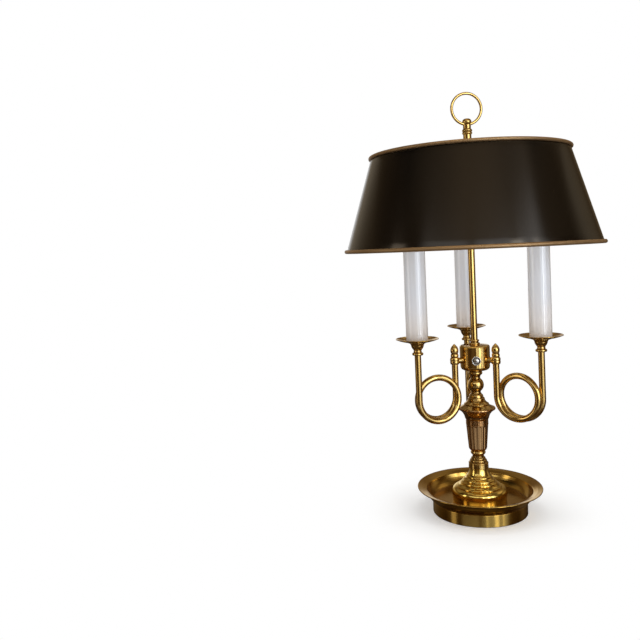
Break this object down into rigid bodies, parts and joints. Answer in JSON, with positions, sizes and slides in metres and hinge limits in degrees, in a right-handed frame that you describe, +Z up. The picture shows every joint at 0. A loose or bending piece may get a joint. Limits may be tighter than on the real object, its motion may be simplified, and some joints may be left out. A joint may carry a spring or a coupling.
{
  "type": "table lamp",
  "caption": "Bouillotte lamp: brass tray foot, fluted column, scrolled candle arms and a dark metal drum shade held by a ring finial",
  "frame": {"origin": "middle of the felt under the foot, on the table", "axes": "+Z up along the column; the push switch faces -Y; +X to the right as seen from the switch side"},
  "size_m": [0.3963, 0.3964, 0.66],
  "materials": {
    "polished_brass": "polished, lacquered",
    "antique_gold": "dull gilt",
    "socket_brass": "plain",
    "shade_enamel": "satin black-brown enamel",
    "cast_iron": "as cast, painted black",
    "zinc_steel": "zinc plated",
    "nickel": "bright nickel",
    "candle_plastic": "smooth white",
    "frosted_glass": "frosted",
    "black_plastic": "moulded",
    "bushing_plastic": "moulded brown",
    "connector_plastic": "moulded",
    "lead_insulation": "plain",
    "green_felt": "pressed felt"
  },
  "bodies": {
    "stand": {"acorn_nuts": "polished_brass", "arm_collars": "polished_brass", "arm_knuckles": "polished_brass", "arm_leads": "lead_insulation", "arm_nipples": "polished_brass", "back_arm_tube": "polished_brass", "back_candle_cover": "candle_plastic", "back_drip_pan": "polished_brass", "base_band": "polished_brass", "base_hex_nut": "zinc_steel", "base_lock_washer": "zinc_steel", "base_mound": "polished_brass", "base_skirt": "polished_brass", "base_weight": "cast_iron", "bracket_nuts": "zinc_steel", "centre_rod": "polished_brass", "cluster_bottom_cup": "polished_brass", "cluster_drum": "polished_brass", "cluster_lock_nut": "zinc_steel", "cluster_top_cap": "polished_brass", "column_rings": "polished_brass", "column_vase": "polished_brass", "cord_bushing": "bushing_plastic", "felt_pad": "green_felt", "lead_connectors": "connector_plastic", "left_arm_tube": "polished_brass", "left_candle_cover": "candle_plastic", "left_drip_pan": "polished_brass", "pan_cups": "polished_brass", "right_arm_tube": "polished_brass", "right_candle_cover": "candle_plastic", "right_drip_pan": "polished_brass", "rod_foot_collar": "polished_brass", "rod_nut": "zinc_steel", "rod_rest_collar": "polished_brass", "socket_bodies": "black_plastic", "socket_brackets": "zinc_steel", "socket_contacts": "socket_brass", "socket_nipples": "zinc_steel", "socket_shells": "socket_brass", "stem_spindle": "polished_brass", "switch_bushing": "nickel", "switch_housing": "black_plastic", "switch_ring_nut": "nickel", "threaded_pipe": "zinc_steel", "tray": "polished_brass"},
    "switch_button": {"switch_plunger": "nickel"},
    "shade": {"shade_shell": "shade_enamel", "shade_bottom_bead": "antique_gold", "shade_top_bead": "antique_gold", "shade_spider": "polished_brass"},
    "finial": {"finial_body": "polished_brass", "finial_ring": "polished_brass"},
    "left_bulb": {"left_bulb_base": "socket_brass", "left_bulb_glass": "frosted_glass"},
    "right_bulb": {"right_bulb_base": "socket_brass", "right_bulb_glass": "frosted_glass"},
    "back_bulb": {"back_bulb_base": "socket_brass", "back_bulb_glass": "frosted_glass"}
  },
  "joints": [
    {"name": "switch_press", "type": "slide", "parent": "stand", "child": "switch_button", "axis": [0, 1, 0], "range_m": [0, 0.003], "stiffness_N_per_m": 900, "springref_m": -0.002},
    {"name": "shade_turn", "type": "hinge", "parent": "stand", "child": "shade", "pos_m": [0, 0, 0.5585], "axis": [0, 0, 1], "continuous": true},
    {"name": "finial_turn", "type": "hinge", "parent": "stand", "child": "finial", "pos_m": [0, 0, 0.58], "axis": [0, 0, 1], "continuous": true},
    {"name": "left_bulb_turn", "type": "hinge", "parent": "stand", "child": "left_bulb", "pos_m": [-0.08897, -0.05643, 0.409], "axis": [0, 0, 1], "continuous": true},
    {"name": "right_bulb_turn", "type": "hinge", "parent": "stand", "child": "right_bulb", "pos_m": [0.09335, -0.04884, 0.409], "axis": [0, 0, 1], "continuous": true},
    {"name": "back_bulb_turn", "type": "hinge", "parent": "stand", "child": "back_bulb", "pos_m": [-0.00438, 0.10526, 0.409], "axis": [0, 0, 1], "continuous": true}
  ]
}
